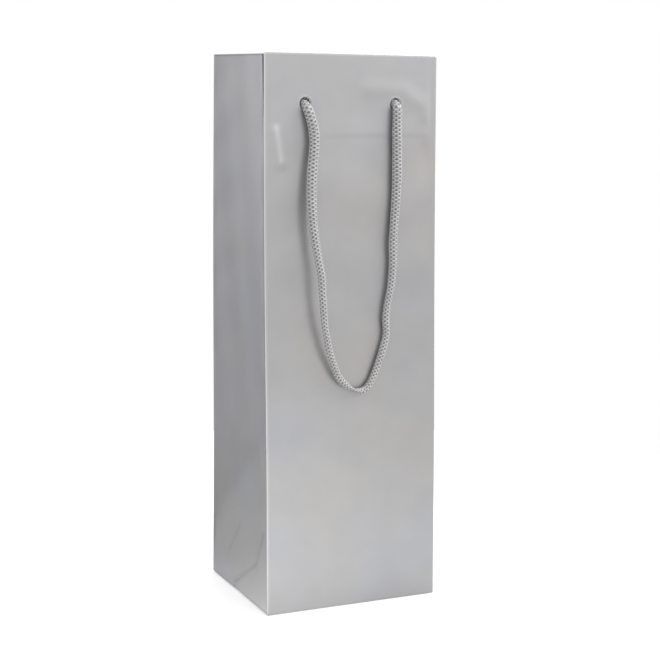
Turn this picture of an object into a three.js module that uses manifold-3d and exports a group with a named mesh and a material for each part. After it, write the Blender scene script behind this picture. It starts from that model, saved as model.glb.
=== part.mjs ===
// Wine gift bag: one folded and glued paper sheet, two reinforcement cards,
// a loose base board and a knotted rope handle in the holes of the front.
// Millimetres, +Z up. The origin is the centre of the underside and the front faces -Y.
import * as THREE from 'three';
import { mergeVertices } from 'three/addons/utils/BufferGeometryUtils.js';
import Module from 'manifold-3d';

// The standing bag
const WIDTH = 120;
const DEPTH = 104;
const HEIGHT = 360;

// Thickness of the laminated paper, the reinforcement card and the base board
const PAPER = 0.3;
const CARD = 0.6;
const BOARD = 1.2;

// The turned-in top edge, with a card inside it on the front and on the back
const HEM_DEPTH = 50;
const CARD_WIDTH = 108;
const CARD_HEIGHT = 46;

// The lap joint that closes the sheet into a tube, behind the front's left edge
const SEAM_FLAP_WIDTH = 17;

// The bottom: the front and back flaps lap in the middle, over tucks from the sides
const FLAP_LAP = 24;
const FLAP_SIDE_CLEARANCE = 0.5;
const FLAP_TAPER = 1.7;
const TUCK_LENGTH = 40;
const BOARD_CLEARANCE = 3;

// Punched holes for the handles, a little to the left of each face's middle
const HOLE_DIAMETER = 7.5;
const HOLE_SPACING = 62;
const HOLE_OFFSET = -1.6;
const HOLE_DROP = 31.2;
const HOLE_SEGMENTS = 20;

// Rope handle
const ROPE_DIAMETER = 6;
const ROPE_SIDES = 10;
const ROPE_STEPS = 36;
const ROPE_STAND_OFF = 5;
const PIVOT_GAP = 0.3;
const KNOT_WIDTH = 14;
const KNOT_THICKNESS = 10.5;
const KNOT_GAP = 0.5;
const KNOT_TAIL = 14;
const KNOT_SEGMENTS = 20;
const ROUND_STEPS = 6;

const innerX = WIDTH / 2 - PAPER;
const innerY = DEPTH / 2 - PAPER;
const hemInnerX = innerX - PAPER;
const hemBottom = HEIGHT - HEM_DEPTH;
const leftHoleX = HOLE_OFFSET - HOLE_SPACING / 2;
const rightHoleX = HOLE_OFFSET + HOLE_SPACING / 2;
const holeZ = HEIGHT - HOLE_DROP;
const ropeRadius = ROPE_DIAMETER / 2;
const pivotY = -(DEPTH / 2 + ROPE_STAND_OFF);
const ropeStartZ = holeZ - ropeRadius - PIVOT_GAP;

// The front handle as it hangs, from under the left hole to under the right one.
// It bows away from the front on the left and closes in a pinched bend near the middle.
const HANDLE_ROUTE = [
  [leftHoleX, pivotY, ropeStartZ],
  [-30.6, -57.4, 318.5],
  [-29.2, -57.9, 312],
  [-28.8, -58.4, 305],
  [-29.4, -58.9, 298],
  [-30.6, -59.5, 289],
  [-31.7, -60.2, 277],
  [-31.9, -61.2, 265],
  [-31.6, -62.2, 254],
  [-30.4, -63.5, 242],
  [-28.8, -64.7, 230.5],
  [-27.1, -65.4, 221],
  [-26.7, -65.7, 212],
  [-25.9, -65.7, 200],
  [-24.8, -65.0, 189],
  [-22.9, -64.0, 181],
  [-20.9, -62.9, 173],
  [-17.8, -61.5, 165],
  [-12.9, -59.4, 155],
  [-7.2, -58.1, 149],
  [-2.0, -57.4, 145.8],
  [3.2, -57.1, 144.2],
  [7.2, -56.8, 145.2],
  [11.0, -56.6, 149.5],
  [15.2, -56.5, 158.5],
  [19.3, -56.5, 169.7],
  [21.9, -56.6, 180],
  [21.5, -56.7, 190],
  [22.6, -56.8, 200],
  [25.0, -57.0, 212],
  [26.1, -57.2, 227],
  [26.0, -57.2, 239],
  [26.8, -57.2, 251.5],
  [27.9, -57.1, 266],
  [28.7, -57.0, 282],
  [28.7, -57.0, 300],
  [28.6, -57.0, 312],
  [rightHoleX, pivotY, ropeStartZ],
];

const wasm = await Module();
wasm.setup();

const silverPaper = { color: 0xa9aaad, roughness: 0.38, metalness: 0.55 };
const whiteCard = { color: 0xdedcd6, roughness: 0.9, metalness: 0 };
const greyBoard = { color: 0x8f8b83, roughness: 0.95, metalness: 0 };
const silverRope = { color: 0x8d8f92, roughness: 0.8, metalness: 0 };

function namedMesh(name, geometry, look) {
  const made = new THREE.Mesh(geometry, new THREE.MeshStandardMaterial(look));
  made.name = name;
  return made;
}

// A plain rectangular slab between two limits on each axis
function slab(name, look, [x0, x1], [y0, y1], [z0, z1]) {
  const made = namedMesh(name, new THREE.BoxGeometry(x1 - x0, y1 - y0, z1 - z0), look);
  made.position.set((x0 + x1) / 2, (y0 + y1) / 2, (z0 + z1) / 2);
  return made;
}

function rectangle(x0, x1, z0, z1) {
  return new THREE.Shape([
    new THREE.Vector2(x0, z0),
    new THREE.Vector2(x1, z0),
    new THREE.Vector2(x1, z1),
    new THREE.Vector2(x0, z1),
  ]);
}

function punchHandleHoles(shape) {
  for (const x of [leftHoleX, rightHoleX]) {
    shape.holes.push(new THREE.Path().absarc(x, holeZ, HOLE_DIAMETER / 2, 0, 2 * Math.PI));
  }
  return shape;
}

// A sheet standing in the X-Z plane, whose front surface is at y = 0
function standingSheet(shape, thickness) {
  const settings = { depth: thickness, bevelEnabled: false, curveSegments: HOLE_SEGMENTS };
  const geometry = new THREE.ExtrudeGeometry(shape, settings);
  geometry.rotateX(Math.PI / 2);
  geometry.translate(0, thickness, 0);
  return geometry;
}

// A sheet lying in the X-Y plane, whose underside is at z = 0
function lyingSheet(corners, thickness) {
  const shape = new THREE.Shape(corners.map(([x, y]) => new THREE.Vector2(x, y)));
  return new THREE.ExtrudeGeometry(shape, { depth: thickness, bevelEnabled: false });
}

function toSolid(geometry) {
  const bare = geometry.clone();
  bare.deleteAttribute('normal');
  bare.deleteAttribute('uv');
  const merged = mergeVertices(bare);
  const vertProperties = new Float32Array(merged.attributes.position.array);
  const triVerts = new Uint32Array(merged.index.array);
  return new wasm.Manifold(new wasm.Mesh({ numProp: 3, vertProperties, triVerts }));
}

function toGeometry(solid) {
  const { vertProperties, triVerts } = solid.getMesh();
  const geometry = new THREE.BufferGeometry();
  geometry.setAttribute('position', new THREE.BufferAttribute(vertProperties, 3));
  geometry.setIndex(new THREE.BufferAttribute(triVerts, 1));
  geometry.computeVertexNormals();
  return geometry;
}

// The front or back panel of the sheet
function facePanel(name) {
  const shape = punchHandleHoles(rectangle(-WIDTH / 2, WIDTH / 2, 0, HEIGHT));
  const panel = namedMesh(name, standingSheet(shape, PAPER), silverPaper);
  panel.position.y = -DEPTH / 2;
  return panel;
}

// The card slipped between a face panel and its hem, a fold's thickness below the top
function reinforcementCard(name) {
  const top = HEIGHT - PAPER;
  const outline = rectangle(-CARD_WIDTH / 2, CARD_WIDTH / 2, top - CARD_HEIGHT, top);
  const card = namedMesh(name, standingSheet(punchHandleHoles(outline), CARD), whiteCard);
  card.position.y = -innerY;
  return card;
}

// The hem of a face panel: over the card's top edge, then down behind the card
function faceHem(name) {
  const behindCard = CARD + PAPER;
  const leg = standingSheet(
    punchHandleHoles(rectangle(-hemInnerX, hemInnerX, hemBottom, HEIGHT)), PAPER);
  leg.translate(0, CARD, 0);
  const fold = new THREE.BoxGeometry(2 * hemInnerX, behindCard, PAPER);
  fold.translate(0, behindCard / 2, HEIGHT - PAPER / 2);
  const hem = namedMesh(name, toGeometry(toSolid(leg).add(toSolid(fold))), silverPaper);
  hem.position.y = -innerY;
  return hem;
}

// One end of a rope: a round nose at the pivot, the stretch through the hole and the knot
function knottedEnd(name, x) {
  const knotFront = -pivotY - innerY + CARD + PAPER + KNOT_GAP;
  const profile = [];
  for (let i = 0; i <= ROUND_STEPS; i += 1) {
    const turn = (i / ROUND_STEPS) * Math.PI / 2;
    profile.push(new THREE.Vector2(ropeRadius * Math.sin(turn), -ropeRadius * Math.cos(turn)));
  }
  const neck = Math.asin(ropeRadius / (KNOT_WIDTH / 2));
  for (let i = 0; i <= 2 * ROUND_STEPS; i += 1) {
    const turn = neck + (i / (2 * ROUND_STEPS)) * (Math.PI - neck);
    const along = knotFront + KNOT_THICKNESS / 2 * (1 - Math.cos(turn));
    const isEnd = i === 2 * ROUND_STEPS;
    profile.push(new THREE.Vector2(isEnd ? 0 : KNOT_WIDTH / 2 * Math.sin(turn), along));
  }
  const rope = toSolid(new THREE.LatheGeometry(profile, KNOT_SEGMENTS));
  const tail = new THREE.CylinderGeometry(ropeRadius, ropeRadius, KNOT_TAIL, KNOT_SEGMENTS);
  tail.rotateX(Math.PI / 2);
  tail.translate(0, knotFront + KNOT_THICKNESS / 2, -KNOT_TAIL / 2);
  const end = namedMesh(name, toGeometry(rope.add(toSolid(tail))), silverRope);
  end.position.set(x, pivotY, holeZ);
  return end;
}

function handleCord(name) {
  const route = new THREE.CatmullRomCurve3(HANDLE_ROUTE.map((p) => new THREE.Vector3(...p)));
  const section = new THREE.Shape(Array.from({ length: ROPE_SIDES }, (_, i) => {
    const turn = (i / ROPE_SIDES) * 2 * Math.PI;
    return new THREE.Vector2(ropeRadius * Math.cos(turn), ropeRadius * Math.sin(turn));
  }));
  const geometry = new THREE.ExtrudeGeometry(section, {
    steps: ROPE_STEPS,
    extrudePath: route,
    bevelEnabled: false,
  });
  return namedMesh(name, geometry, silverRope);
}

// Everything that the front and the back have alike, built as the front
function face(side) {
  const group = new THREE.Group();
  group.add(
    facePanel(`${side}_panel`),
    faceHem(`${side}_hem`),
    reinforcementCard(`${side}_reinforcement_card`),
  );
  return group;
}

// The front handle: its hanging loop, and a knotted end in each hole
function frontHandle() {
  const group = new THREE.Group();
  group.add(
    handleCord('front_handle_cord'),
    knottedEnd('front_handle_knot_left', leftHoleX),
    knottedEnd('front_handle_knot_right', rightHoleX),
  );
  return group;
}

// A side panel and its hem, built as the left side
function side(name) {
  const group = new THREE.Group();
  const depth = [-innerY, innerY];
  group.add(
    slab(`${name}_side_panel`, silverPaper, [-WIDTH / 2, -innerX], depth, [0, HEIGHT]),
    slab(`${name}_side_hem`, silverPaper, [-innerX, -hemInnerX], depth, [hemBottom, HEIGHT]),
  );
  return group;
}

// A long bottom flap from the front's lower edge to past the middle
function bottomFlap(name) {
  const root = innerX - FLAP_SIDE_CLEARANCE;
  const tip = root - FLAP_TAPER;
  const reach = FLAP_LAP / 2;
  const corners = [[-root, -innerY], [root, -innerY], [tip, reach], [-tip, reach]];
  return namedMesh(name, lyingSheet(corners, PAPER), silverPaper);
}

// A short tuck from the left side's lower edge, with its corners cut at 45 degrees
function bottomTuck(name) {
  const root = innerY - FLAP_SIDE_CLEARANCE;
  const corners = [
    [-innerX, -root],
    [-innerX + TUCK_LENGTH, -root + TUCK_LENGTH],
    [-innerX + TUCK_LENGTH, root - TUCK_LENGTH],
    [-innerX, root],
  ];
  return namedMesh(name, lyingSheet(corners, PAPER), silverPaper);
}

function turnedAbout(object) {
  const group = new THREE.Group();
  group.add(object);
  group.rotation.z = Math.PI;
  return group;
}

// Layers of the bottom from the ground up: back flap, front flap, side tucks, base board
function bottom() {
  const group = new THREE.Group();
  const backFlap = bottomFlap('back_bottom_flap');
  const frontFlap = bottomFlap('front_bottom_flap');
  frontFlap.position.z = PAPER;
  const tucks = [bottomTuck('left_bottom_tuck'), bottomTuck('right_bottom_tuck')];
  tucks.forEach((tuck) => { tuck.position.z = 2 * PAPER; });
  const boardX = innerX - BOARD_CLEARANCE;
  const boardY = innerY - BOARD_CLEARANCE;
  const boardBottom = 3 * PAPER;
  group.add(
    turnedAbout(backFlap),
    frontFlap,
    tucks[0],
    turnedAbout(tucks[1]),
    slab('base_board', greyBoard, [-boardX, boardX], [-boardY, boardY],
      [boardBottom, boardBottom + BOARD]),
  );
  return group;
}

// The seam flap is glued to the inside of the front panel, from above the tucks to the hem
const seamFlap = slab('side_seam_flap', silverPaper,
  [-innerX, -innerX + SEAM_FLAP_WIDTH], [-innerY, -innerY + PAPER],
  [3 * PAPER + FLAP_SIDE_CLEARANCE, hemBottom - FLAP_SIDE_CLEARANCE]);

const bag = new THREE.Group();
bag.add(
  face('front'),
  turnedAbout(face('back')),
  frontHandle(),
  side('left'),
  turnedAbout(side('right')),
  bottom(),
  seamFlap,
);

export default bag;
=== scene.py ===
"""Wine gift bag: the looks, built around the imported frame. Metres, +Z up, front towards -Y."""

import math

import bpy
import numpy as np
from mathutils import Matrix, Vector


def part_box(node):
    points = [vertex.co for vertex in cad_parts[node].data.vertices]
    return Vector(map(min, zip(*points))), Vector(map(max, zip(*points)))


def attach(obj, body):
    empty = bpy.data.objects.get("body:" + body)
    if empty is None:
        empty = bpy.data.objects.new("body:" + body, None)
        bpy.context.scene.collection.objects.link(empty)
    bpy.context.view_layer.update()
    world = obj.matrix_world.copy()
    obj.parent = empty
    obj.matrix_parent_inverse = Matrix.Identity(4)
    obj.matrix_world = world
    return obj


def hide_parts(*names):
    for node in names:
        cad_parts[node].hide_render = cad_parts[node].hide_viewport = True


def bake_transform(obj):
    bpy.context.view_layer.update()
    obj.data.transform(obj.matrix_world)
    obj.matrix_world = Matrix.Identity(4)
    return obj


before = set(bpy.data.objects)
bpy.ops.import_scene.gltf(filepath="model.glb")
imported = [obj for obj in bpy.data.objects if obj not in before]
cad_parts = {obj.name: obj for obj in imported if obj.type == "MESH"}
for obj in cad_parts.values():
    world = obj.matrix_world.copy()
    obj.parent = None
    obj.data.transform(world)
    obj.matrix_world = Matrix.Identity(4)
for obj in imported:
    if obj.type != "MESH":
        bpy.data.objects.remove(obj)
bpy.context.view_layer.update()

MM = 0.001

# The standing bag, from the frame
panel_low, panel_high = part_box("front_panel")
card_low, card_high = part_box("front_reinforcement_card")
HALF_WIDTH = panel_high.x
HALF_DEPTH = -panel_low.y
HEIGHT = panel_high.z
PAPER = panel_high.y - panel_low.y
CARD = card_high.y - card_low.y
HEM_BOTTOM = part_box("front_hem")[0].z

# Handle holes, as in the CAD: how far along their face they are, seen from outside it
LEFT_HOLE = -32.6 * MM
RIGHT_HOLE = 29.4 * MM
HOLES = (LEFT_HOLE, RIGHT_HOLE)
HOLE_Z = 328.8 * MM
HOLE_RADIUS = 3.75 * MM

# Knitted rope: the radius over its stitches in the holes, at the top, low down and in the knots, how
# much nearer to the paper it lies than the CAD's plain tube, and the step of its rings
ROPE_IN_HOLE = 2.55 * MM
ROPE_HIGH = 3.4 * MM
ROPE_LOW = 2.35 * MM
ROPE_IN_KNOT = 2.35 * MM
CLOSER = 0.8 * MM
ROPE_STEP = 0.4 * MM

# Its knit: the threads round it, half of them running each way, their spacing along it, and the
# depth of the pits between them
THREADS_ROUND = 8
THREAD_SPACING = 2.45 * MM
STITCH_DEPTH = 0.50 * MM

# The route of a hanging handle from under the left hole to under the right one, as in the CAD
HANDLE_ROUTE = [
    (-0.0326, -0.0570, 0.3255),
    (-0.0306, -0.0574, 0.3185),
    (-0.0292, -0.0579, 0.3120),
    (-0.0288, -0.0584, 0.3050),
    (-0.0294, -0.0589, 0.2980),
    (-0.0306, -0.0595, 0.2890),
    (-0.0317, -0.0602, 0.2770),
    (-0.0319, -0.0612, 0.2650),
    (-0.0316, -0.0622, 0.2540),
    (-0.0304, -0.0635, 0.2420),
    (-0.0288, -0.0647, 0.2305),
    (-0.0271, -0.0654, 0.2210),
    (-0.0267, -0.0657, 0.2120),
    (-0.0259, -0.0657, 0.2000),
    (-0.0248, -0.0650, 0.1890),
    (-0.0229, -0.0640, 0.1810),
    (-0.0209, -0.0629, 0.1730),
    (-0.0178, -0.0615, 0.1650),
    (-0.0129, -0.0594, 0.1550),
    (-0.0072, -0.0581, 0.1490),
    (-0.0020, -0.0574, 0.1458),
    (0.0032, -0.0571, 0.1442),
    (0.0072, -0.0568, 0.1452),
    (0.0110, -0.0566, 0.1495),
    (0.0152, -0.0565, 0.1585),
    (0.0193, -0.0565, 0.1697),
    (0.0219, -0.0566, 0.1800),
    (0.0215, -0.0567, 0.1900),
    (0.0226, -0.0568, 0.2000),
    (0.0250, -0.0570, 0.2120),
    (0.0261, -0.0572, 0.2270),
    (0.0260, -0.0572, 0.2390),
    (0.0268, -0.0572, 0.2515),
    (0.0279, -0.0571, 0.2660),
    (0.0287, -0.0570, 0.2820),
    (0.0287, -0.0570, 0.3000),
    (0.0286, -0.0570, 0.3120),
    (0.0294, -0.0570, 0.3255),
]


# ---------------------------------------------------------------- numbers, meshes and nodes

def smoothstep(low, high, value):
    t = np.clip((value - low) / (high - low), 0, 1)
    return t * t * (3 - 2 * t)


def near(distance, width):
    """1 where the distance is 0, fading out over a width in mm."""
    return np.exp(-(distance / (width * MM)) ** 2)


def new_object(name, vertices, faces, smooth=True):
    mesh = bpy.data.meshes.new(name)
    mesh.from_pydata([tuple(v) for v in vertices], [], faces)
    if smooth:
        mesh.shade_smooth()
    made = bpy.data.objects.new(name, mesh)
    bpy.context.scene.collection.objects.link(made)
    return made


def point_attribute(piece, name, values):
    attribute = piece.data.attributes.new(name, "FLOAT", "POINT")
    attribute.data.foreach_set("value", np.asarray(values, np.float32).ravel())


def plain_material(name):
    """A new material, with its nodes, its links and its shader."""
    material = bpy.data.materials.new(name)
    material.use_nodes = True
    tree = material.node_tree
    return material, tree.nodes, tree.links, tree.nodes["Principled BSDF"]


def ramp(nodes, links, source, stops, smooth=True):
    """A colour ramp from a number, with a colour at each stop."""
    node = nodes.new("ShaderNodeValToRGB")
    node.color_ramp.interpolation = "EASE" if smooth else "LINEAR"
    elements = node.color_ramp.elements
    while len(elements) < len(stops):
        elements.new(0.5)
    for element, (position, color) in zip(elements, stops):
        element.position = position
        element.color = (*color, 1)
    links.new(source, node.inputs["Fac"])
    return node.outputs["Color"]


def remap(nodes, links, source, from_low, from_high, to_low=0.0, to_high=1.0):
    """A value brought from one range to another, and kept inside it."""
    node = nodes.new("ShaderNodeMapRange")
    node.inputs["From Min"].default_value = from_low
    node.inputs["From Max"].default_value = from_high
    node.inputs["To Min"].default_value = to_low
    node.inputs["To Max"].default_value = to_high
    links.new(source, node.inputs["Value"])
    return node.outputs["Result"]


def arithmetic(nodes, links, operation, first, second):
    """A Math node on two values, each a number or another node's output."""
    node = nodes.new("ShaderNodeMath")
    node.operation = operation
    for socket, value in zip(node.inputs, (first, second)):
        if isinstance(value, (int, float)):
            socket.default_value = value
        else:
            links.new(value, socket)
    return node.outputs["Value"]


def noise_node(nodes, links, scale, detail=3.0, roughness=0.5):
    place = nodes.new("ShaderNodeTexCoord")
    noise = nodes.new("ShaderNodeTexNoise")
    noise.inputs["Scale"].default_value = scale
    noise.inputs["Detail"].default_value = detail
    noise.inputs["Roughness"].default_value = roughness
    links.new(place.outputs["Object"], noise.inputs["Vector"])
    return noise


def color_mix(nodes, links, fac, first, second):
    """A mix of two colours, each given as numbers or as another node's output."""
    node = nodes.new("ShaderNodeMix")
    node.data_type = "RGBA"
    for name, color in (("A", first), ("B", second)):
        if isinstance(color, tuple):
            node.inputs[name].default_value = (*color, 1)
        else:
            links.new(color, node.inputs[name])
    links.new(fac, node.inputs["Factor"])
    return node.outputs["Result"]


def add_bump(nodes, links, shader, height, strength, distance):
    """A bump on the shader's surface, from a height of 0 to 1."""
    bump = nodes.new("ShaderNodeBump")
    bump.inputs["Strength"].default_value = strength
    bump.inputs["Distance"].default_value = distance
    links.new(height, bump.inputs["Height"])
    links.new(bump.outputs["Normal"], shader.inputs["Normal"])


# ---------------------------------------------------------------- camera, floor and light

# Where the camera stands, which way it looks, and its lens and sensor in mm
CAMERA_PLACE = (-0.4023, -0.9538, 0.3377)
CAMERA_AZIMUTH = math.radians(-23.19)
CAMERA_PITCH = math.radians(8.87)
CAMERA_LENS = 84.78
CAMERA_SENSOR = 36

# The floor that is seen, and the wider one just under it that lights the bag and is mirrored by it
FLOOR_RADIUS = 0.49
MIRRORED_RADIUS = 0.58
MIRRORED_HEIGHT = -0.0004

# The room's brightness from below the horizon (0) through it (0.25) to overhead (1)
ROOM_IN_FRONT = [
    (0.06, (0.70, 0.68, 0.66)),
    (0.17, (0.74, 0.72, 0.70)),
    (0.27, (1.02, 1.01, 1.00)),
    (0.60, (1.24, 1.24, 1.24)),
    (1.00, (1.30, 1.30, 1.32)),
]
ROOM_BEHIND = [
    (0.06, (0.51, 0.51, 0.545)),
    (0.15, (0.54, 0.54, 0.575)),
    (0.20, (0.65, 0.65, 0.68)),
    (0.27, (0.75, 0.75, 0.78)),
    (0.60, (1.00, 1.00, 1.03)),
    (1.00, (1.30, 1.30, 1.32)),
]
# How much of that there is towards the left and towards the right
FRONT_SHARE = (1.20, 0.98)
BEHIND_SHARE = (0.66, 1.25)
# Where those change over, as parts of a direction: from the lowest shade to the highest, from
# behind to in front, and from the left share to the right one in front and behind
SHADES_RISE = (-0.25, 0.75)
BEHIND_TO_FRONT = (0.5, -0.6)
FRONT_LEFT_TO_RIGHT = (0.10, 0.70)
BEHIND_LEFT_TO_RIGHT = (-0.65, -0.05)

# The slanted line on the left of the mirrored floor past which it is dark: the direction square to
# that line, where along it the dark starts and is full, and how much light it takes away
DARK_ACROSS = (0.888, 0.462)
DARK_STARTS = -0.024
DARK_IS_FULL = -0.004
DARKNESS = 0.30


def make_camera():
    camera = bpy.data.objects.new("camera", bpy.data.cameras.new("camera"))
    camera.data.sensor_width = CAMERA_SENSOR
    camera.data.lens = CAMERA_LENS
    camera.location = CAMERA_PLACE
    ahead = Vector((
        -math.sin(CAMERA_AZIMUTH) * math.cos(CAMERA_PITCH),
        math.cos(CAMERA_AZIMUTH) * math.cos(CAMERA_PITCH),
        -math.sin(CAMERA_PITCH),
    ))
    camera.rotation_mode = "QUATERNION"
    camera.rotation_quaternion = ahead.to_track_quat("-Z", "Y")
    bpy.context.scene.collection.objects.link(camera)
    bpy.context.scene.camera = camera


def area_light(name, place, target, size, power):
    """A rectangular light that faces its target."""
    light = bpy.data.lights.new(name, "AREA")
    light.shape = "RECTANGLE"
    light.size, light.size_y = size
    light.energy = power
    lamp = bpy.data.objects.new(name, light)
    lamp.location = place
    lamp.rotation_mode = "QUATERNION"
    lamp.rotation_quaternion = (Vector(target) - Vector(place)).to_track_quat("-Z", "Y")
    bpy.context.scene.collection.objects.link(lamp)


def make_world():
    """White behind the bag, and a soft grey room that lights it and that its paper mirrors."""
    world = bpy.data.worlds.new("studio")
    bpy.context.scene.world = world
    world.use_nodes = True
    nodes, links = world.node_tree.nodes, world.node_tree.links
    nodes.clear()
    place = nodes.new("ShaderNodeTexCoord")
    split = nodes.new("ShaderNodeSeparateXYZ")
    links.new(place.outputs["Generated"], split.inputs[0])
    height = remap(nodes, links, split.outputs["Z"], *SHADES_RISE)
    front = ramp(nodes, links, height, ROOM_IN_FRONT)
    behind = ramp(nodes, links, height, ROOM_BEHIND)
    towards = remap(nodes, links, split.outputs["Y"], *BEHIND_TO_FRONT)
    room = nodes.new("ShaderNodeMix")
    room.data_type = "RGBA"
    links.new(towards, room.inputs["Factor"])
    links.new(behind, room.inputs["A"])
    links.new(front, room.inputs["B"])
    behind_share = remap(nodes, links, split.outputs["X"], *BEHIND_LEFT_TO_RIGHT, *BEHIND_SHARE)
    front_share = remap(nodes, links, split.outputs["X"], *FRONT_LEFT_TO_RIGHT, *FRONT_SHARE)
    share = nodes.new("ShaderNodeMix")
    links.new(towards, share.inputs["Factor"])
    links.new(behind_share, share.inputs["A"])
    links.new(front_share, share.inputs["B"])
    lit = nodes.new("ShaderNodeBackground")
    links.new(room.outputs["Result"], lit.inputs["Color"])
    links.new(share.outputs["Result"], lit.inputs["Strength"])
    seen = nodes.new("ShaderNodeBackground")
    seen.inputs["Color"].default_value = (1, 1, 1, 1)
    choose = nodes.new("ShaderNodeMixShader")
    path = nodes.new("ShaderNodeLightPath")
    links.new(path.outputs["Is Camera Ray"], choose.inputs["Fac"])
    links.new(lit.outputs["Background"], choose.inputs[1])
    links.new(seen.outputs["Background"], choose.inputs[2])
    out = nodes.new("ShaderNodeOutputWorld")
    links.new(choose.outputs["Shader"], out.inputs["Surface"])


def floor_disc(name, radius, height, albedo, glow):
    """A round white floor that glows by a number, or by what glow(nodes, links, x, y) gives."""
    rim = [(radius * math.cos(a), radius * math.sin(a), height)
           for a in np.linspace(0, 2 * math.pi, 96, endpoint=False)]
    floor = new_object(name, rim, [tuple(range(len(rim)))], smooth=False)
    material, nodes, links, shader = plain_material(name)
    shader.inputs["Base Color"].default_value = (albedo, albedo, albedo, 1)
    shader.inputs["Roughness"].default_value = 1.0
    shader.inputs["Specular IOR Level"].default_value = 0.0
    shader.inputs["Emission Color"].default_value = (1, 1, 1, 1)
    if callable(glow):
        place = nodes.new("ShaderNodeTexCoord")
        split = nodes.new("ShaderNodeSeparateXYZ")
        links.new(place.outputs["Object"], split.inputs[0])
        strength = glow(nodes, links, split.outputs["X"], split.outputs["Y"])
        links.new(strength, shader.inputs["Emission Strength"])
    else:
        shader.inputs["Emission Strength"].default_value = glow
    floor.data.materials.append(material)
    return floor


def room_glow(nodes, links, x, y):
    """Bright in front on the left, less on the right, dim behind, dark beyond the left side's foot."""
    along = remap(nodes, links, y, 0.08, -0.12, 0.20, 1.05)
    share = remap(nodes, links, x, -0.06, 0.24, 1.0, 0.45)
    bright = arithmetic(nodes, links, "MULTIPLY", along, share)
    across_x = arithmetic(nodes, links, "MULTIPLY", x, DARK_ACROSS[0])
    across_y = arithmetic(nodes, links, "MULTIPLY", y, DARK_ACROSS[1])
    across = arithmetic(nodes, links, "ADD", across_x, across_y)
    beyond = remap(nodes, links, across, DARK_STARTS, DARK_IS_FULL)
    on_left = remap(nodes, links, x, 0.08, -0.06)
    dark = arithmetic(nodes, links, "MULTIPLY", beyond, on_left)
    taken = arithmetic(nodes, links, "MULTIPLY", dark, DARKNESS)
    return arithmetic(nodes, links, "SUBTRACT", bright, taken)


def make_floor():
    """The floor that is seen, with the bag's contact shadow, and the one that lights and is mirrored."""
    seen = floor_disc("floor", FLOOR_RADIUS, height=0.0, albedo=0.76, glow=0.15)
    seen.visible_diffuse = False
    seen.visible_glossy = False
    mirrored = floor_disc("floor_light", MIRRORED_RADIUS, MIRRORED_HEIGHT, albedo=0.30, glow=room_glow)
    mirrored.visible_camera = False
    mirrored.visible_shadow = False


def make_studio():
    make_world()
    make_floor()
    centre = (0, 0, 0.18)
    area_light("key", (1.45, -0.75, 1.2), centre, size=(1.3, 1.3), power=24)
    area_light("top", (0, 0.2, 1.8), centre, size=(2.0, 2.0), power=14)
    bpy.context.scene.view_settings.view_transform = "Standard"


# ---------------------------------------------------------------- knitted rope

def smooth_line(points, step):
    """A Catmull-Rom line through the points, resampled so that its points are step apart."""
    p = np.array(points, float)
    p = np.vstack([2 * p[0] - p[1], p, 2 * p[-1] - p[-2]])
    t = np.linspace(0, 1, 24, endpoint=False)[:, None]
    parts = []
    for a, b, c, d in zip(p, p[1:], p[2:], p[3:]):
        parts.append(0.5 * (2 * b + (c - a) * t + (2 * a - 5 * b + 4 * c - d) * t ** 2
                            + (3 * b - a - 3 * c + d) * t ** 3))
    dense = np.vstack(parts + [p[-2][None]])
    along = np.concatenate([[0], np.cumsum(np.linalg.norm(np.diff(dense, axis=0), axis=1))])
    wanted = np.linspace(0, along[-1], int(round(along[-1] / step)) + 1)
    return np.stack([np.interp(wanted, along, dense[:, i]) for i in range(3)], axis=1)


def softened(line, passes):
    """The line with its small corners rounded, its ends kept."""
    for _ in range(passes):
        line = np.vstack([line[:1], (line[:-2] + 2 * line[1:-1] + line[2:]) / 4, line[-1:]])
    return line


def carried_frames(line):
    """Tangent and two square directions at each point, carried along without twisting."""
    tangents = np.gradient(line, axis=0)
    tangents /= np.linalg.norm(tangents, axis=1)[:, None]
    side = np.cross(tangents[0], (1, 0, 0))
    if np.linalg.norm(side) < 0.1:
        side = np.cross(tangents[0], (0, 1, 0))
    sides = []
    for tangent in tangents:
        side = side - tangent * (side @ tangent)
        side = side / np.linalg.norm(side)
        sides.append(side)
    sides = np.array(sides)
    return tangents, sides, np.cross(tangents, sides)


def stitch_relief(turn, along):
    """Height from 0 to 1 of the knit: two crossing families of threads with a pit in each mesh."""
    dip = 0.16
    across = turn * THREADS_ROUND / (4 * math.pi)
    first = across + along / THREAD_SPACING
    second = across - along / THREAD_SPACING
    over = np.abs(np.sin(math.pi * first)) * (1 - dip + dip * np.sin(2 * math.pi * second))
    under = np.abs(np.sin(math.pi * second)) * (1 - dip - dip * np.sin(2 * math.pi * first))
    plies = 0.10 * np.cos(6 * math.pi * np.where(over > under, second, first))
    return np.clip(np.maximum(over, under) ** 1.25 + plies, 0, 1)


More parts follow.
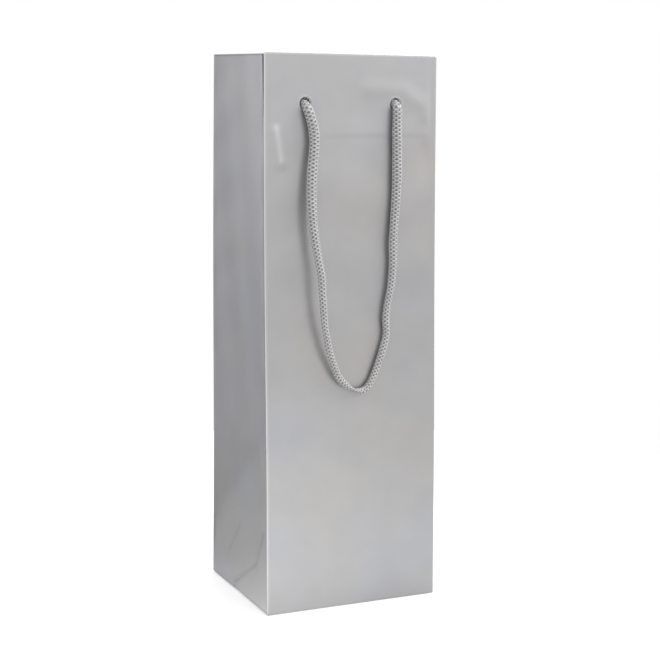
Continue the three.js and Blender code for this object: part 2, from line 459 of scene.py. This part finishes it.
def knitted_rope(name, line, radius, sides, flatten=None, twist=0.0):
    """A closed knitted tube whose ring centres are the line's points, with one radius or one each."""
    tangents, side, up = carried_frames(line)
    rings = len(line)
    along = np.concatenate([[0], np.cumsum(np.linalg.norm(np.diff(line, axis=0), axis=1))])
    turns = np.linspace(0, 2 * math.pi, sides, endpoint=False)
    turn_grid, along_grid = np.meshgrid(turns, along)
    relief = stitch_relief(turn_grid + twist * along_grid, along_grid)
    wobble = 1 + 0.03 * np.sin(along_grid / (9 * MM)) + 0.02 * np.sin(along_grid / (3.7 * MM) + 1)
    radii = np.broadcast_to(radius, rings)
    size = radii[:, None] * wobble - STITCH_DEPTH * (1 - relief)
    wide, thin = np.ones(rings), np.ones(rings)
    if flatten is not None:
        wide, thin = flatten(along)
    to_end = np.clip(np.minimum(along, along[-1] - along) / radii, 0, 1)
    taper = np.sqrt(to_end * (2 - to_end))
    size = size * np.maximum(taper, 0.05)[:, None]
    rim = (side[:, None] * (np.cos(turn_grid) * size * wide[:, None])[..., None]
           + up[:, None] * (np.sin(turn_grid) * size * thin[:, None])[..., None])
    vertices = (line[:, None] + rim).reshape(-1, 3)
    ring = np.arange(sides)
    following = (ring + 1) % sides
    faces = []
    for i in range(rings - 1):
        a, b = i * sides, (i + 1) * sides
        faces.extend(zip(a + ring, a + following, b + following, b + ring))
    faces.append(tuple(reversed(range(sides))))
    faces.append(tuple(range((rings - 1) * sides, rings * sides)))
    made = new_object(name, vertices, [tuple(int(i) for i in f) for f in faces])
    point_attribute(made, "relief", relief)
    return made


def handle_line():
    """The whole rope outside its knots: out of the left hole, down the route and back in."""
    def through_hole(x):
        return [
            (x, -0.0450, 0.3280),
            (x, -0.0485, 0.3278),
            (x + 0.1 * MM, -0.0512, 0.3275),
            (x + 0.1 * MM, -0.0536, 0.3258),
        ]
    left = through_hole(LEFT_HOLE) + [(LEFT_HOLE + 0.6 * MM, -0.0554, 0.3238)]
    right = [(RIGHT_HOLE - 0.3 * MM, -0.0554, 0.3238)] + through_hole(RIGHT_HOLE)[::-1]
    middle = [(x, y + CLOSER, z) for x, y, z in HANDLE_ROUTE[1:-1]]
    return softened(smooth_line(left + middle + right, ROPE_STEP), 12)


def make_handle(material):
    """The front handle: its rope from knot to knot, hanging from the two holes."""
    line = handle_line()
    lowest = np.argmin(line[:, 2]) * ROPE_STEP
    hanging = ROPE_LOW + (ROPE_HIGH - ROPE_LOW) * smoothstep(190, 300, line[:, 2] / MM)
    outside = smoothstep(51, 58, np.abs(line[:, 1]) / MM)
    radius = ROPE_IN_HOLE + (hanging - ROPE_IN_HOLE) * outside

    def flatten(along):
        """How wide and how thin the rope is, for its pinched bend just before its lowest point."""
        pinch = near(along - lowest + 6.0 * MM, 4.0)
        return 1 + 0.20 * pinch, 1 - 0.55 * pinch

    rope = knitted_rope("front_handle_rope", line, radius, sides=80, flatten=flatten, twist=6.0)
    rope.data.materials.append(material)
    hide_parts("front_handle_cord")
    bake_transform(rope)
    knots = [make_knot("left", LEFT_HOLE, material), make_knot("right", RIGHT_HOLE, material)]


# How far in front of the bag's upright axis the middle of each knot is
KNOT_Y = -0.0452


def make_knot(hand, x, material):
    """An overhand knot against the hem, with its short tail hanging down."""
    angle = np.linspace(0, 1, 26) * 2 * math.pi * 1.55 - 0.4
    swell = 1 + 0.25 * np.cos(1.5 * angle)
    loop = np.stack([
        3.3 * MM * np.cos(angle) * swell,
        2.0 * MM * np.sin(1.5 * angle) - 0.5 * MM,
        3.6 * MM * np.sin(angle) * swell,
    ], axis=1)
    lead = [(0, -4.6 * MM, 0), (0, -2.4 * MM, 0)]
    tail = [
        (1.5 * MM, 1.5 * MM, -6.0 * MM),
        (1.2 * MM, 1.2 * MM, -9.5 * MM),
        (0.8 * MM, 0.8 * MM, -13.5 * MM),
    ]
    points = np.array([*lead, *loop, *tail]) + (x, KNOT_Y, HOLE_Z)
    line = softened(smooth_line(points, ROPE_STEP), 20)
    knot = knitted_rope(f"front_handle_knot_{hand}_rope", line, ROPE_IN_KNOT, sides=48)
    knot.data.materials.append(material)
    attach(knot, "bag")
    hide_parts(f"front_handle_knot_{hand}")
    return knot


# ---------------------------------------------------------------- the folded sheet

# Each face: its outward direction, the direction that runs left to right as seen from
# outside, half its width, and its distance from the bag's upright axis
FACES = {
    "front": ((0, -1), (1, 0), HALF_WIDTH, HALF_DEPTH),
    "right": ((1, 0), (0, 1), HALF_DEPTH, HALF_WIDTH),
    "back": ((0, 1), (-1, 0), HALF_WIDTH, HALF_DEPTH),
    "left": ((-1, 0), (0, -1), HALF_DEPTH, HALF_WIDTH),
}
HALF = {face: half for face, (_, _, half, _) in FACES.items()}
# The faces that a face meets at its left and at its right, seen from outside
NEXT_FACE = {
    "front": ("left", "right"),
    "right": ("front", "back"),
    "back": ("right", "left"),
    "left": ("back", "front"),
}

# The radius of the upright folds, the radius of the bottom creases, and the glue's thickness
FOLD = 0.8 * MM
CREASE = 0.6 * MM
GLUE = 0.05 * MM

# How far each hem's middle plane lies behind its panel's
HEM_INSET = {
    "front": PAPER + CARD,
    "back": PAPER + CARD,
    "left": PAPER + GLUE,
    "right": PAPER + GLUE,
}
# The height of each bottom flap's middle plane, as they lie on one another
FLAP_LEVEL = {"back": 0.5 * PAPER, "front": 1.5 * PAPER, "left": 2.5 * PAPER, "right": 2.5 * PAPER}

# How far the front's and the back's bottom flaps reach past the bottom's middle, how long the tucks
# are, how far all of them stay clear of the corners, and how much narrower a flap is at its tip
FLAP_OVERLAP = 12 * MM
TUCK_LENGTH = 40 * MM
FLAP_CLEARANCE = 0.8 * MM
FLAP_TAPER = 1.7 * MM

# How far the glued lap gapes at the top of the front's left edge, and how much of the lap shows there
SLIT = 3.0 * MM
LAP_STRIP = 4.5 * MM

# How far the front and the back bow out, how far the sides lean in low down and how much more at
# the top, in mm
BOW_OUT = 1.1
LEAN_IN = 0.5
LEAN_IN_MORE = 1.0

# How far out of true the bag is, in mm. Its top closes in: the back's left end to the right, the
# right end to the left, less of that at the back, the back forward, and more so at its left end. Its
# foot bulges at the back. The whole bag sways from side to side in one long wave.
TOP_BACK_LEFT_IN = 2.2
TOP_RIGHT_IN = 1.5
LESS_AT_BACK = 0.7
TOP_BACK_FORWARD = 0.4
MORE_ON_LEFT = 3.1
FOOT_BULGE = 1.0
SWAY = 0.35

# How much lower than the full height each face's top edge is, at its middle and its slope, in mm
TOP_DROP = {"front": (1.25, 0.85), "right": (1.45, -0.65), "back": (0.6, -0.2), "left": (1.0, 0.6)}

# Marks on the front and the back, in mm along the face and up it: a mild crease left of the left hole,
# the streak beside it where a highlight is painted, and the card's round outline pressed through near
# the right hole
STREAK_CREASE = ((-52.2, 315), (-47.2, 288))
STREAK_HIGHLIGHT = [(-52.0, 314), (-48.8, 293)]
CARD_OUTLINE = [(11, 338), (34, 337), (50, 328), (56, 315), (54, 308)]

# Marks on the left side, in the same way: a soft ridge, the creases below it, each with its strength,
# which is negative because they go inwards, and how deep in mm a crease of strength 1 is
LEFT_RIDGE = [(60, 124), (32, 104), (0, 78), (-26, 52), (-46, 33), (-60, 18)]
LEFT_CREASES = [((33, 30), (-10, 4), -0.32), ((48, 56), (30, 27), -0.28), ((4, 50), (-20, 23), -0.14)]
CREASE_DEPTH = 2.5


def ridge(x, z, points, height, width):
    """A soft raised line along the points."""
    best = np.full(np.broadcast(x, z).shape, 1e9)
    for (x0, z0), (x1, z1) in zip(points, points[1:]):
        dx, dz = x1 - x0, z1 - z0
        t = np.clip(((x - x0) * dx + (z - z0) * dz) / (dx * dx + dz * dz), 0, 1)
        best = np.minimum(best, np.hypot(x - x0 - t * dx, z - z0 - t * dz))
    return height * np.exp(-(best / width) ** 2)


def crease(x, z, start, end, height, below, above):
    """A fold from start to end: sharp on the line, fading out over one width below and one above."""
    (x0, z0), (x1, z1) = start, end
    dx, dz = x1 - x0, z1 - z0
    length = math.hypot(dx, dz)
    t = ((x - x0) * dx + (z - z0) * dz) / length ** 2
    off = ((z - z0) * dx - (x - x0) * dz) / length * np.sign(dx)
    ends = smoothstep(-0.10, 0.15, t) * (1 - smoothstep(0.85, 1.10, t))
    return height * ends * np.exp(-np.where(off > 0, off / above, -off / below))


def bow(face, t, z):
    """How far a face stands out of its flat plane, in shallow waves that slant and wander over it,
    shared by its panel, card and hem."""
    x, h = t / MM, z / MM
    arch = np.cos(np.clip(x / (HALF[face] / MM), -1, 1) * math.pi / 2)
    upright = smoothstep(4, 110, h)
    phase = {"front": 0.0, "right": 1.7, "back": 3.1, "left": 4.4}[face]
    level_waves = 0.13 * np.sin(h / 6.9 + 0.9 * np.sin(x / 17 + phase) + phase)
    waves = level_waves + 0.10 * np.sin(x / 7.3 + h / 31 + phase)
    if face in ("front", "back"):
        stiff = 1 - 0.75 * smoothstep(285, 325, h)
        return (BOW_OUT * arch ** 2 * stiff + waves * stiff) * upright * MM
    inward = LEAN_IN + LEAN_IN_MORE * smoothstep(190, 300, h)
    return (waves - inward * arch) * upright * MM


def surface_detail(face, t, z):
    """Relief on the outside of a face: the card and the holes' rims showing through, and creases."""
    x, h = t / MM, z / MM
    if face in ("front", "back"):
        card = smoothstep(306.5, 310.5, h) * smoothstep(-30, -8, x) * (1 - smoothstep(52, 57, x))
        marks = 0.14 * card
        marks = marks + crease(x, h, *STREAK_CREASE, height=0.45, below=7.0, above=2.5)
        marks = marks + ridge(x, h, CARD_OUTLINE, height=0.32, width=6.0)
        for hole in HOLES:
            away = np.hypot(t - hole, z - HOLE_Z) / MM
            marks = marks + 0.10 * np.exp(-((away - 4.25) / 0.6) ** 2)
        return marks * MM
    if face == "left":
        marks = ridge(x, h, LEFT_RIDGE, height=0.8, width=14)
        for start, end, strength in LEFT_CREASES:
            marks = marks + crease(x, h, start, end, CREASE_DEPTH * strength, below=7.0, above=1.6)
        return marks * MM
    return crease(x, h, (-46, 50), (10, 5), height=-0.45, below=7.0, above=1.8) * MM


def to_space(face, t, out, z):
    """Points at t along a face, out from its outer plane, at height z."""
    (nx, ny), (ax, ay), _, distance = FACES[face]
    away = distance + out
    return np.stack(np.broadcast_arrays(t * ax + away * nx, t * ay + away * ny, z), axis=-1)


def across_face(a, half, low_inset, high_inset):
    """Where developed position a lies along the face and behind its plane: flat, with half a fold
    at each end."""
    flat = half - FOLD
    turn_low = np.clip((-a - flat) / FOLD, 0, math.pi / 4)
    turn_high = np.clip((a - flat) / FOLD, 0, math.pi / 4)
    middle = np.clip(a, -flat, flat)
    share = (middle + flat) / (2 * flat)
    t = (1 - share) * (-flat + low_inset) + share * (flat - high_inset)
    t = t - FOLD * np.sin(turn_low) + FOLD * np.sin(turn_high)
    return t, -FOLD * (2 - np.cos(turn_low) - np.cos(turn_high))


# Fine steps on each side of a hole's middle
FINE = np.arange(-6.4, 6.41, 0.4) * MM


def refined(marks, centres):
    """The marks in order, with fine steps in place of those near each centre."""
    for centre in centres:
        marks = [m for m in marks if abs(m - centre) > FINE[-1] + 0.2 * MM] + list(centre + FINE)
    return np.array(sorted(marks))


def columns(half, spacing, low_fold=True, fine=()):
    """Developed positions across a face: steps over the flat, finer at its ends and round each x in
    fine. Its low end is cut square if it has no fold."""
    flat = half - FOLD
    marks = list(np.linspace(-flat, flat, int(round(2 * flat / spacing)) + 1))
    for edge, folded in ((-1, low_fold), (1, True)):
        if folded:
            marks += list(edge * (flat + np.linspace(0, FOLD * math.pi / 4, 5)[1:]))
            marks += [edge * (flat - 0.4 * MM)]
        else:
            marks += [edge * half, edge * (half - 0.35 * MM)]
    return refined(marks, fine)


def heights():
    """Heights of a panel's rows above its bottom crease."""
    low = np.arange(2.0, 70, 1.2)
    middle = np.arange(70, 284, 2.5)
    high = np.arange(284, 359, 1.4)
    return refined(list(np.concatenate([low, middle, high]) * MM), [HOLE_Z])


def all_kept(grid):
    """Every face between a grid's points."""
    return np.ones((grid.shape[0] - 1, grid.shape[1] - 1), bool)


def punched(t, z, centres, radius):
    """Moves grid points onto each hole's rim. Returns the points and which faces are left."""
    t, z = t.copy(), z.copy()
    keep = np.ones((t.shape[0] - 1, t.shape[1] - 1), bool)
    for x in centres:
        off = np.hypot(t - x, z - HOLE_Z)
        inside = off < radius
        hit = inside[:-1, :-1] | inside[1:, :-1] | inside[:-1, 1:] | inside[1:, 1:]
        keep &= ~hit
        rim = np.zeros_like(inside)
        rim[:-1, :-1] |= hit
        rim[1:, :-1] |= hit
        rim[:-1, 1:] |= hit
        rim[1:, 1:] |= hit
        rim &= ~inside
        scale = np.where(rim, radius / np.maximum(off, 1e-9), 1)
        t = np.where(rim, x + (t - x) * scale, t)
        z = np.where(rim, HOLE_Z + (z - HOLE_Z) * scale, z)
    return t, z, keep


def grid_piece(name, points, keep, wear_and_painted_light, thickness, materials, flip):
    """A sheet of paper or board through a grid of points, with its thickness and cut edges."""
    rows, cols = points.shape[:2]
    number = np.full(rows * cols, -1)
    faces, used = [], []
    for i, j in zip(*np.nonzero(keep)):
        corners = [i * cols + j, i * cols + j + 1, (i + 1) * cols + j + 1, (i + 1) * cols + j]
        if flip:
            corners.reverse()
        for corner in corners:
            if number[corner] < 0:
                number[corner] = len(used)
                used.append(corner)
        faces.append([int(number[c]) for c in corners])
    made = new_object(name, points.reshape(-1, 3)[used], faces)
    point_attribute(made, "wear_and_painted_light", np.broadcast_to(wear_and_painted_light, points.shape[:2]).reshape(-1)[used])
    for material in materials:
        made.data.materials.append(material)
    solid = made.modifiers.new("thickness", "SOLIDIFY")
    solid.thickness = thickness
    solid.offset = 0
    solid.use_even_offset = True
    solid.material_offset = 1
    solid.material_offset_rim = 2
    return made


def finish_piece(made, node):
    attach(made, "base_board" if node == "base_board" else "bag")
    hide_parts(node)


def slit(z):
    """How far the glued lap gapes behind the front's left edge, from none at the hem's foot."""
    return SLIT * np.clip((z - HEM_BOTTOM) / (HEIGHT - HEM_BOTTOM), 0, 1) ** 0.7


def lap_inset(face, z):
    """How far the left side's front end is moved in, because the sheet laps behind the front."""
    return PAPER + GLUE + slit(z) if face == "left" else 0.0


def lowered(face, t, z):
    """Heights brought down, from a little over halfway up, to where the paper ends on this face."""
    middle, slope = TOP_DROP[face]
    drop = (middle + slope * t / HALF[face]) * MM
    return z - drop * smoothstep(0.55 * HEIGHT, HEIGHT, z)


def wear_and_painted_light_of(face, a, z):
    """Up to 1 where the film is worn pale and where a highlight is painted; down to -1 where shade is
    painted.
    """
    x, h = a / MM, z / MM
    low_end, high_end = HALF[face] + a, HALF[face] - a
    # Painted shade: a dark line along the foot, where the bag stands on the floor
    foot = 0.75 * near(z, 1.6)
    # The top edge: worn pale on the front and the other faces, dark painted shade on the left side
    head = near(HEIGHT - z, 0.9)
    if face == "front":
        # Painted highlight: the pale streak beside the crease left of the left hole
        streak_highlight = ridge(x, h, STREAK_HIGHLIGHT, height=0.45, width=1.6)
        # Its left cut edge is pale, partly worn and partly a painted highlight
        return near(low_end, 0.8) + 0.5 * near(high_end, 0.6) + 0.5 * head - foot + streak_highlight
    if face == "left":
        # On the left side all of this is painted shade: its back fold, darker near the top, its top
        # edge, its foot and its creases
        top = smoothstep(280, 325, h)
        back_fold_shade = 0.30 * near(low_end, 1.6) + 0.4 * top * near(low_end, 3.0)
        crease_shade = sum(-crease(x, h, start, end, strength, below=0.8, above=1.6)
                      for start, end, strength in LEFT_CREASES)
        return -np.maximum(np.maximum(back_fold_shade, 0.8 * head), np.maximum(foot, crease_shade))
    # On the other faces the folds and the top edge are worn pale
    fold = 0.5 * (near(low_end, 0.7) + near(high_end, 0.7))
    return np.where(foot > 0.05, -foot, np.maximum(fold, 0.5 * head))


def rim_wear_and_highlight(t, z):
    """A thin pale worn rim round each hole, brighter above it and to its left as a painted highlight."""
    pale = 0.0
    for hole in HOLES:
        away = np.hypot(t - hole, z - HOLE_Z)
        upper_left = (z - HOLE_Z - (t - hole)) / (math.sqrt(2) * np.maximum(away, 1e-6))
        ring = near(away - HOLE_RADIUS, 0.5)
        pale = np.maximum(pale, ring * (0.4 + 0.6 * upper_left))
    return pale


def sheet_node(face, part):
    """The CAD's name for a face's panel or hem."""
    return f"{face}_{part}" if face in ("front", "back") else f"{face}_side_{part}"


def holes_in(face):
    return HOLES if face in ("front", "back") else ()


def make_panel(face, paper):
    """A face's panel, from half of its bottom crease to the top of the turned-in edge."""
    half = HALF[face] - PAPER / 2
    a = columns(half, 1.2 * MM, low_fold=face != "front", fine=holes_in(face))
    turn = np.linspace(math.pi / 4, 0, 5)
    over = np.linspace(0, math.pi / 2, 5)
    radius = HEM_INSET[face] / 2
    middle = heights()
    bottom_z = FLAP_LEVEL[face] + CREASE * (1 - np.sin(turn))
    top_z = HEIGHT - PAPER / 2 - radius + radius * np.sin(over)
    z_rows = np.concatenate([bottom_z, middle, top_z])
    bottom_inset = CREASE * (1 - np.cos(turn))
    top_inset = radius * (1 - np.cos(over))
    inset_rows = np.concatenate([bottom_inset, np.zeros(len(middle)), top_inset])
    place_sheet(sheet_node(face, "panel"), face, a, z_rows, inset_rows, paper, outside=True)


def make_hem(face, paper):
    """A face's turned-in top edge. The front's stops short of the gaping lap."""
    half = HALF[face] - PAPER / 2
    a = columns(half, 2 * MM, fine=holes_in(face))
    if face == "front":
        a = a[a > -HALF_WIDTH + LAP_STRIP]
    radius = HEM_INSET[face] / 2
    over = np.linspace(math.pi / 2, math.pi, 5)
    top = HEIGHT - PAPER / 2 - radius
    down = refined(list(np.arange(HEM_BOTTOM, top - 2 * MM, 2 * MM)), [HOLE_Z])[::-1]
    z_rows = np.concatenate([top + radius * np.sin(over), down])
    inset_rows = np.concatenate([radius * (1 - np.cos(over)), np.full(len(down), 2 * radius)])
    place_sheet(sheet_node(face, "hem"), face, a, z_rows, inset_rows, paper, outside=False)


def place_sheet(node, face, a, z_rows, inset_rows, paper, outside):
    """A panel or hem: rows at given heights and insets, bowed with its face, and punched."""
    half = HALF[face] - PAPER / 2
    aa, zz = np.meshgrid(a, z_rows)
    inset = np.broadcast_to(inset_rows[:, None], aa.shape)
    next_low, next_high = NEXT_FACE[face]
    low_inset = inset * (HEM_INSET[next_low] / HEM_INSET[face])
    high_inset = lap_inset(face, zz) + inset * (HEM_INSET[next_high] / HEM_INSET[face])
    t, behind = across_face(aa, half, low_inset, high_inset)
    if node == "front_panel":
        t = np.where(aa < -(half - FOLD), aa - PAPER / 2, t)
        behind = np.where(aa < 0, 0, behind)
    t, z, keep = punched(t, zz, holes_in(face), HOLE_RADIUS)
    edge = smoothstep(0, 9 * MM, half - np.abs(t))
    out = -PAPER / 2 + behind - inset + bow(face, t, z) * edge
    if outside:
        out = out + surface_detail(face, t, z) * edge
        wear_and_painted_light = wear_and_painted_light_of(face, aa, zz)
        if holes_in(face):
            wear_and_painted_light = np.maximum(wear_and_painted_light, rim_wear_and_highlight(t, z))
    else:
        wear_and_painted_light = near(HEIGHT - zz, 0.7)
    points = settled(to_space(face, t, out, lowered(face, t, z)))
    made = grid_piece(f"{node}_paper", points, keep, wear_and_painted_light, PAPER, paper, flip=False)
    finish_piece(made, node)


def settled(points):
    """The whole bag out of true: its open top closes in at the back, mostly on the left, and its
    foot bulges there by a millimetre."""
    x, y, z = points[..., 0], points[..., 1], points[..., 2]
    rise = np.clip(z / HEIGHT, 0, 1)
    behind = np.clip((y / HALF_DEPTH + 1) / 2, 0, 1)
    left = 1 - smoothstep(-60, -15, x / MM)
    left_edge = 1 - smoothstep(-60, -36, x / MM)
    right_edge = smoothstep(36, 60, x / MM)
    top_x = behind * TOP_BACK_LEFT_IN * left_edge - (TOP_RIGHT_IN - LESS_AT_BACK * behind) * right_edge
    top_y = behind * (-TOP_BACK_FORWARD - MORE_ON_LEFT * left)
    foot_x = -FOOT_BULGE * behind * left_edge
    foot_y = FOOT_BULGE * behind
    sway = SWAY * np.sin(z / (62 * MM) + 0.8) * smoothstep(0.05 * HEIGHT, 0.3 * HEIGHT, z)
    moved = points.copy()
    moved[..., 0] = x + MM * (rise * top_x + (1 - rise) * foot_x + sway)
    moved[..., 1] = y + MM * (rise * top_y + (1 - rise) * foot_y)
    return moved


def make_flap(node, face, length, root_half, tip_half, paper):
    """A bottom flap or tuck: from half of the bottom crease, flat towards the middle."""
    turn = np.linspace(math.pi / 4, math.pi / 2, 5)
    level = FLAP_LEVEL[face]
    flat = np.linspace(1 * MM, length, int(length / (2 * MM)))
    inset = np.concatenate([CREASE * (1 - np.cos(turn)), flat])
    z = np.concatenate([level + CREASE * (1 - np.sin(turn)), np.full(len(flat), level)])
    half = root_half + np.clip(inset / length, 0, 1) * (tip_half - root_half)
    t = half[:, None] * np.linspace(-1, 1, 61)[None]
    out = np.broadcast_to(-PAPER / 2 - inset[:, None], t.shape)
    zz = np.broadcast_to(z[:, None], t.shape)
    points = settled(to_space(face, t, out, zz))
    wear_and_painted_light = np.broadcast_to(near(inset, 0.9)[:, None], t.shape)
    made = grid_piece(f"{node}_paper", points, all_kept(t), wear_and_painted_light, PAPER, paper, flip=True)
    finish_piece(made, node)


def make_seam_flap(paper):
    """The lap behind the front's left edge: half the corner fold, then glued flat, and gaping above
    the hem's foot, where only a strip of it is left."""
    low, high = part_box("side_seam_flap")
    strip_end = -HALF_WIDTH + LAP_STRIP
    turn = np.linspace(math.pi / 4, math.pi / 2, 5)
    glued_z = np.arange(low.z, high.z, 3 * MM)
    z = np.concatenate([glued_z, np.linspace(high.z, HEIGHT - 1.7 * MM, 18)])
    folded_x = -HALF_WIDTH + PAPER / 2 + FOLD * (1 - np.sin(math.pi / 2 - turn))
    strip_x = np.linspace(low.x + 2 * MM, strip_end, 4)
    line_x = np.concatenate([folded_x, strip_x, np.linspace(strip_end, high.x, 9)[1:]])
    line_y = np.full(len(line_x), -HALF_DEPTH + 1.5 * PAPER + GLUE)
    line_y[:len(turn)] += FOLD * (1 - np.sin(turn))
    xx, zz = np.meshgrid(line_x, z)
    yy = line_y[None] + slit(zz)
    lift = bow("front", xx, zz) * smoothstep(0, 9 * MM, HALF_WIDTH - np.abs(xx))
    points = settled(np.stack([xx, yy - lift, zz], axis=-1))
    above = zz[:-1, :-1] > high.z - 1 * MM
    past_strip = xx[:-1, :-1] > strip_end - 0.1 * MM
    keep = all_kept(xx) & ~(above & past_strip)
    # Painted shade: the lap is coloured near black above its glued part, where it shows in the gaping
    # slit
    wear_and_painted_light = -smoothstep(high.z - 4 * MM, high.z + 2 * MM, zz)
    made = grid_piece("side_seam_flap_paper", points, keep, wear_and_painted_light, PAPER, paper, flip=False)
    finish_piece(made, "side_seam_flap")


def make_card(face, board):
    """A reinforcement card, bent with its face and punched for the rope."""
    node = f"{face}_reinforcement_card"
    low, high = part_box(node)
    across = refined(list(np.linspace(low.x, high.x, 73)), HOLES)
    up = refined(list(np.linspace(low.z, high.z - 0.8 * MM, 28)), [HOLE_Z])
    tt, zz = np.meshgrid(across, up)
    t, z, keep = punched(tt, zz, HOLES, HOLE_RADIUS)
    out = -PAPER - CARD / 2 + bow(face, t, z) * smoothstep(0, 9 * MM, HALF[face] - np.abs(t))
    points = settled(to_space(face, t, out, lowered(face, t, z)))
    made = grid_piece(f"{node}_board", points, keep, 0.0, 0.9 * CARD, board, flip=False)
    finish_piece(made, node)


def make_base_board(board):
    """The loose board, with rounded corners and a slight warp."""
    low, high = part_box("base_board")
    half_x, half_y = high.x, high.y
    corner = 2 * MM
    xx, yy = np.meshgrid(np.linspace(-half_x, half_x, 60), np.linspace(-half_y, half_y, 50))
    over_x = np.clip(np.abs(xx) - (half_x - corner), 0, None)
    over_y = np.clip(np.abs(yy) - (half_y - corner), 0, None)
    pull = np.maximum(np.hypot(over_x, over_y) / corner, 1)
    xx = np.sign(xx) * (np.minimum(np.abs(xx), half_x - corner) + over_x / pull)
    yy = np.sign(yy) * (np.minimum(np.abs(yy), half_y - corner) + over_y / pull)
    warp = 0.35 * MM * ((xx / half_x) ** 2 * (yy / half_y) ** 2)
    points = np.stack([xx, yy, (low.z + high.z) / 2 + warp], axis=-1)
    thickness = high.z - low.z
    made = grid_piece("base_board_greyboard", points, all_kept(xx), 0.0, thickness, board, flip=False)
    finish_piece(made, "base_board")


# ---------------------------------------------------------------- materials

# The rope's colour from between its stitches (0) to the tops of its threads (1): dark in the pits as
# painted shade
THREAD_COLOURS_AND_PIT_SHADE = [
    (0.25, (0.08, 0.08, 0.083)),
    (0.58, (0.24, 0.24, 0.243)),
    (0.95, (0.44, 0.438, 0.44)),
]

# The silver film: its warm and its cool tint where it is darker and where it is lighter, its pale
# colour for worn places and painted highlights, and the near black of its painted shade
FILM_DARK = ((0.376, 0.367, 0.362), (0.362, 0.366, 0.384))
FILM_LIGHT = ((0.422, 0.412, 0.406), (0.404, 0.410, 0.430))
RUBBED_AND_HIGHLIGHT = (0.60, 0.60, 0.615)
PAINTED_SHADE_COLOUR = (0.03, 0.03, 0.032)


def rope_material():
    """Grey yarn with shade painted dark into the pits of its knit, and a little light passing through
    it.
    """
    material, nodes, links, shader = plain_material("knitted_rope")
    relief = nodes.new("ShaderNodeAttribute")
    relief.attribute_name = "relief"
    # Painted shade: the pits of the knit are coloured dark and the thread tops light
    thread = ramp(nodes, links, relief.outputs["Fac"], THREAD_COLOURS_AND_PIT_SHADE, smooth=False)
    links.new(thread, shader.inputs["Base Color"])
    shader.inputs["Roughness"].default_value = 0.62
    shader.inputs["Sheen Weight"].default_value = 0.25
    shader.inputs["Subsurface Weight"].default_value = 0.4
    shader.inputs["Subsurface Radius"].default_value = (1.0, 1.0, 1.0)
    shader.inputs["Subsurface Scale"].default_value = 2.5 * MM
    return material


def silver_laminate():
    """Matt silver film on paper: a cloudy satin metal under a clear film, pale where worn and for
    painted highlights, near black for painted shade.
    """
    material, nodes, links, shader = plain_material("silver_laminate")
    drift = noise_node(nodes, links, scale=16, detail=1)
    tint = remap(nodes, links, drift.outputs["Fac"], 0.35, 0.65)
    dark = color_mix(nodes, links, tint, *FILM_DARK)
    light = color_mix(nodes, links, tint, *FILM_LIGHT)
    clouds = noise_node(nodes, links, scale=55, detail=4)
    base = color_mix(nodes, links, clouds.outputs["Fac"], dark, light)
    wear_and_painted_light = nodes.new("ShaderNodeAttribute")
    wear_and_painted_light.attribute_name = "wear_and_painted_light"
    # Pale where the film is worn and where a highlight is painted; near black where shade is painted
    rubbed_and_highlit = remap(nodes, links, wear_and_painted_light.outputs["Fac"], 0, 1)
    painted_shade = remap(nodes, links, wear_and_painted_light.outputs["Fac"], 0, -1)
    base = color_mix(nodes, links, rubbed_and_highlit, base, RUBBED_AND_HIGHLIGHT)
    base = color_mix(nodes, links, painted_shade, base, PAINTED_SHADE_COLOUR)
    links.new(base, shader.inputs["Base Color"])
    grain = noise_node(nodes, links, scale=2600, detail=2)
    roughness = remap(nodes, links, grain.outputs["Fac"], 0, 1, 0.31, 0.39)
    links.new(roughness, shader.inputs["Roughness"])
    add_bump(nodes, links, shader, grain.outputs["Fac"], strength=0.25, distance=0.02 * MM)
    shader.inputs["Metallic"].default_value = 0.8
    shader.inputs["Coat Weight"].default_value = 0.8
    shader.inputs["Coat Roughness"].default_value = 0.22
    shader.inputs["Coat IOR"].default_value = 1.5
    return material


def fibre_board(name, dark, light, grain_scale, bump_height):
    """Uncoated paper or board: mottled, rough, with a fibre grain."""
    material, nodes, links, shader = plain_material(name)
    mottle = noise_node(nodes, links, scale=260, detail=5, roughness=0.65)
    links.new(color_mix(nodes, links, mottle.outputs["Fac"], dark, light), shader.inputs["Base Color"])
    grain = noise_node(nodes, links, grain_scale, detail=3)
    roughness = remap(nodes, links, grain.outputs["Fac"], 0, 1, 0.82, 0.98)
    links.new(roughness, shader.inputs["Roughness"])
    add_bump(nodes, links, shader, grain.outputs["Fac"], strength=0.6, distance=bump_height)
    return material


# ---------------------------------------------------------------- the bag

make_camera()
make_studio()
make_handle(rope_material())

paper_inside = fibre_board("paper_inside", dark=(0.74, 0.735, 0.72), light=(0.82, 0.815, 0.80),
                           grain_scale=1800, bump_height=0.03 * MM)
paper_edge = fibre_board("paper_edge", dark=(0.78, 0.78, 0.77), light=(0.88, 0.88, 0.87),
                         grain_scale=2400, bump_height=0.02 * MM)
white_card = fibre_board("white_card", dark=(0.70, 0.69, 0.66), light=(0.80, 0.79, 0.76),
                         grain_scale=1500, bump_height=0.03 * MM)
greyboard = fibre_board("greyboard", dark=(0.24, 0.235, 0.22), light=(0.40, 0.39, 0.37),
                        grain_scale=900, bump_height=0.08 * MM)
sheet = [silver_laminate(), paper_inside, paper_edge]

for face in FACES:
    make_panel(face, sheet)
    make_hem(face, sheet)
make_seam_flap(sheet)
for face in ("front", "back"):
    length = HALF_DEPTH + FLAP_OVERLAP
    root_half = HALF[face] - FLAP_CLEARANCE
    make_flap(f"{face}_bottom_flap", face, length, root_half, root_half - FLAP_TAPER, sheet)
    make_card(face, [white_card])
for face in ("left", "right"):
    root_half = HALF[face] - FLAP_CLEARANCE
    make_flap(f"{face}_bottom_tuck", face, TUCK_LENGTH, root_half, root_half - TUCK_LENGTH, sheet)
make_base_board([greyboard])
